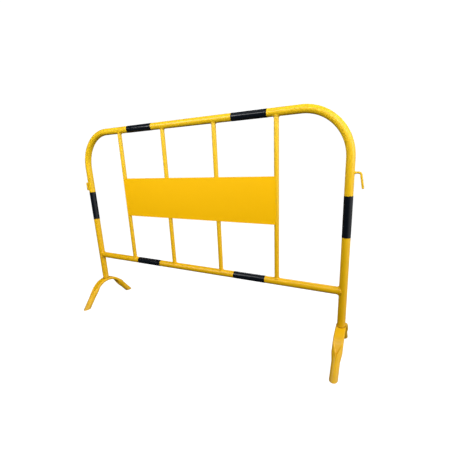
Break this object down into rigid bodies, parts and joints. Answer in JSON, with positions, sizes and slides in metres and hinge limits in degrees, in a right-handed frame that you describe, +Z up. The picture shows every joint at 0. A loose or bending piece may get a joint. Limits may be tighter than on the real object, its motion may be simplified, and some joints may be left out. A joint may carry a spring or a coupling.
{
  "type": "crowd control barrier",
  "caption": "Free-standing tubular steel crowd barrier with a plain sign panel, black bands, arched feet, and a hook and socket that link it to its neighbours.",
  "frame": {"origin": "middle of the whole object's footprint, on the floor that its feet stand on", "axes": "+X along the barrier to the end with the hook, -Y the side that the sign panel faces, +Z up"},
  "size_m": [1.487, 0.3462, 1.0005],
  "materials": {
    "yellow_paint": "gloss yellow powder coat on steel tube",
    "panel_paint": "semi-gloss yellow powder coat on steel sheet",
    "black_film": "gloss black self-adhesive film"
  },
  "bodies": {
    "root": {"frame_hoop": "yellow_paint", "bottom_rail": "yellow_paint", "infill_bar_1": "yellow_paint", "infill_bar_2": "yellow_paint", "infill_bar_3": "yellow_paint", "infill_bar_4": "yellow_paint", "sign_panel": "panel_paint", "left_foot": "yellow_paint", "right_foot": "yellow_paint", "hook": "yellow_paint", "hook_socket": "yellow_paint", "top_band_left": "black_film", "top_band_right": "black_film", "bottom_band_left": "black_film", "bottom_band_right": "black_film", "left_upright_band": "black_film", "right_upright_band": "black_film"}
  },
  "joints": []
}
